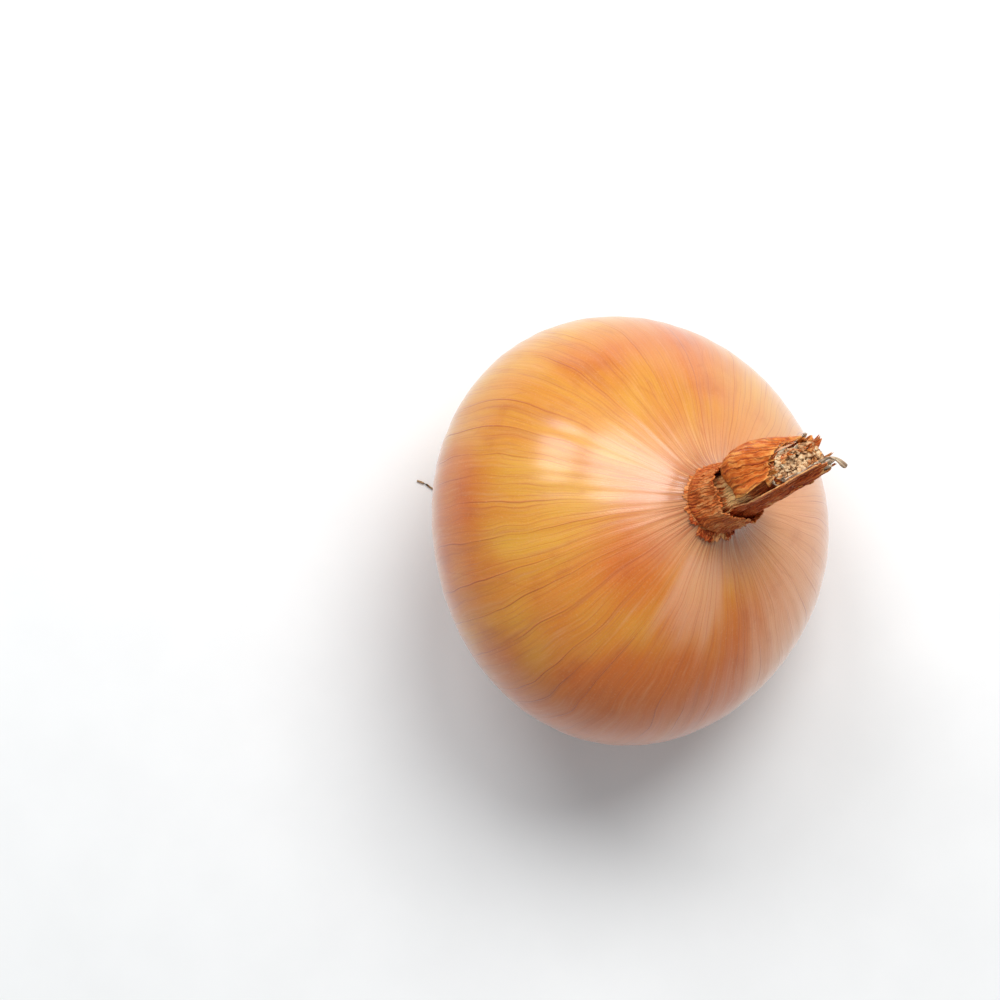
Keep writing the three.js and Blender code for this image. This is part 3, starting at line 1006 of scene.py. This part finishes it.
def makeHairs():
    draw = random.Random(hairs["seed"])
    allPoints, allFaces = [], []
    for number in range(hairs["count"]):
        angle = math.radians(draw.uniform(80, 175))
        start = neck["length"] - float(cutAt(angle)) - draw.uniform(0.0005, 0.003)
        length = draw.uniform(*hairs["length"])
        swing, rise = draw.uniform(-0.4, 0.4), draw.uniform(0.0002, 0.0012)
        route = []
        for step in range(hairs["steps"]):
            share = step / (hairs["steps"] - 1)
            out = float(coreRadius(start, angle)) + 0.0012 + rise * share ** 1.5
            along, around = start + length * share, angle + swing * share ** 2
            spot = neckPoint(np.array([along]), np.array([around]), np.array([out]))
            route.append(Vector(spot[0]))
        radii = [hairs["radius"] * (1 - 0.7 * step / hairs["steps"]) for step in range(hairs["steps"])]
        points, faces = tube(route, radii, hairs["sides"])
        base = len(allPoints)
        allPoints += points
        allFaces += [tuple(base + corner for corner in face) for face in faces]
    count = len(allPoints)
    labels = {"around": np.zeros(count), "along": np.arange(count) * 0.1, "pale": np.full(count, 0.4)}
    piece = meshPiece("neckHairs", allPoints, allFaces, sheathFinish["brown"], True, labels)
    settle(piece, "dry_sheath", "neck_upper_sheath")


makeHairs()
print("neck end, scraps and fringe made")

# root plate and roots

rootPlate = {"radius": 0.0072, "rimRadius": 0.0056, "height": 0.0032, "columns": 96, "rows": 40,
             "rough": 0.00040}
roots = {"count": 14, "radius": 0.00045, "ring": 0.0044, "fan": math.radians(128), "drop": 0.0022,
         "reach": 0.013, "longIndex": 9, "longReach": 0.0265, "steps": 44, "sides": 8, "seed": 17}


def drySurface(name, dark, light, scale):
    material, tree = newMaterial(name)
    place = node(tree, "ShaderNodeTexCoord").outputs["Object"]
    lumps = cloud(tree, place, scale, 4.0, 0.65)
    specks = cloud(tree, place, scale * 4, 3.0, 0.6)
    colour = ramp(tree, lumps, [(0.32, dark), (0.68, light)])
    colour = blendColour(tree, remap(tree, specks, 0.48, 0.3, 0.0, 0.6), colour, dark)
    height = plus(tree, lumps, times(tree, specks, 0.5))
    roughness = remap(tree, specks, 0.3, 0.7, 0.75, 0.95)
    finishMaterial(tree, colour, roughness, height, 0.0003, Specular_IOR_Level=0.25)
    return material


cork = drySurface("corky root plate", (0.10, 0.055, 0.028), (0.42, 0.29, 0.17), 700.0)
dryRoot = drySurface("dry root", (0.17, 0.085, 0.035), (0.55, 0.37, 0.20), 500.0)


def makeRootPlate():
    columns, rows = rootPlate["columns"], rootPlate["rows"]
    across, up = gridOf(columns, rows, around=True)
    angle = across * 2 * math.pi
    top = -onion["bottomHeight"] - 0.0001
    # up runs from the middle of the plate's face, over its rim, to the bulb
    faceShare = np.clip(up / 0.6, 0, 1)
    sideShare = np.clip((up - 0.6) / 0.4, 0, 1)
    radius = lerp(0.0002, rootPlate["rimRadius"], faceShare)
    radius = radius + (rootPlate["radius"] - rootPlate["rimRadius"]) * sideShare
    height = top - rootPlate["height"] * (1 - 0.12 * faceShare ** 4 - 0.88 * sideShare ** 1.3)
    points = np.stack([radius * np.cos(angle), radius * np.sin(angle), height], 1)
    rough = grain(points, 700.0, 91) + 0.6 * grain(points, 1700.0, 92)
    outward = np.stack([np.cos(angle) * sideShare, np.sin(angle) * sideShare, -(1 - 0.7 * sideShare)], 1)
    points = restOnTable(points + outward * (rough * rootPlate["rough"])[:, None])
    centre = len(points)
    points = np.vstack([points, points[:columns].mean(axis=0, keepdims=True)])
    faces = gridFaces(columns, rows, around=True)
    faces += [(centre, column, (column + 1) % columns)[::-1] for column in range(columns)]
    piece = meshPiece("rootPlate", points, [face[::-1] for face in faces], cork, True)
    settle(piece, "cork", "root_plate")


def rootRoute(index, draw):
    turn = lerp(-roots["fan"], roots["fan"], index / (roots["count"] - 1))
    reach = roots["reach"] * (1 + 0.25 * math.sin(index * 2.4))
    if index == roots["longIndex"]:
        reach = roots["longReach"]
    sway = 0.0012 * math.sin(index * 1.7)
    away = Vector((-math.cos(turn), math.sin(turn), 0))
    sideways = Vector((away.y, -away.x, 0))
    underPlate = -onion["bottomHeight"] - rootPlate["height"]
    start = leaning @ Vector((-roots["ring"] * math.cos(turn), roots["ring"] * math.sin(turn), underPlate))
    axis = Vector((sinLean, 0, cosLean))
    dropped = start - axis * roots["drop"]
    middle = dropped + away * reach * 0.45 + sideways * sway * 0.5
    tip = dropped + away * reach + sideways * sway
    dropped.z = max(dropped.z, roots["radius"])
    middle.z = roots["radius"]
    tip.z = roots["radius"]
    knots = [start, dropped, middle, tip]
    route = []
    kink = Vector((draw.uniform(-9, 9), draw.uniform(-9, 9), 0))
    for step in range(roots["steps"]):
        share = step / (roots["steps"] - 1)
        part = min(int(share * 3), 2)
        local = share * 3 - part
        a, b = knots[max(part - 1, 0)], knots[part]
        c, d = knots[part + 1], knots[min(part + 2, 3)]
        spot = 0.5 * (2 * b + (c - a) * local + (2 * a - 5 * b + 4 * c - d) * local ** 2
                      + (3 * b - a - 3 * c + d) * local ** 3)
        waver = noise.noise(spot * 420 + kink) * 0.0006 + noise.noise(spot * 1300 + kink) * 0.00018
        spot = spot + sideways * waver * min(share * 4, 1)
        lifted = spot.z + noise.noise(spot * 500 - kink) * 0.0003 * min(share * 4, 1)
        spot.z = max(lifted, roots["radius"] * 0.8)
        route.append(spot)
    return route


def makeRoots():
    draw = random.Random(roots["seed"])
    for index in range(roots["count"]):
        route = rootRoute(index, draw)
        radii = []
        for step in range(roots["steps"]):
            share = step / (roots["steps"] - 1)
            knob = 1 + 0.22 * noise.noise(route[step] * 900)
            radii.append(roots["radius"] * (1 - 0.62 * share ** 1.3) * knob)
        points, faces = tube(route, radii, roots["sides"])
        points = [(x, y, max(z, 0)) for x, y, z in points]
        name = "root_{:02d}".format(index + 1)
        piece = meshPiece("dryRoot{:02d}".format(index + 1), points, faces, dryRoot)
        settle(piece, "dry_root", name)


makeRootPlate()
makeRoots()
print("root plate and roots made")
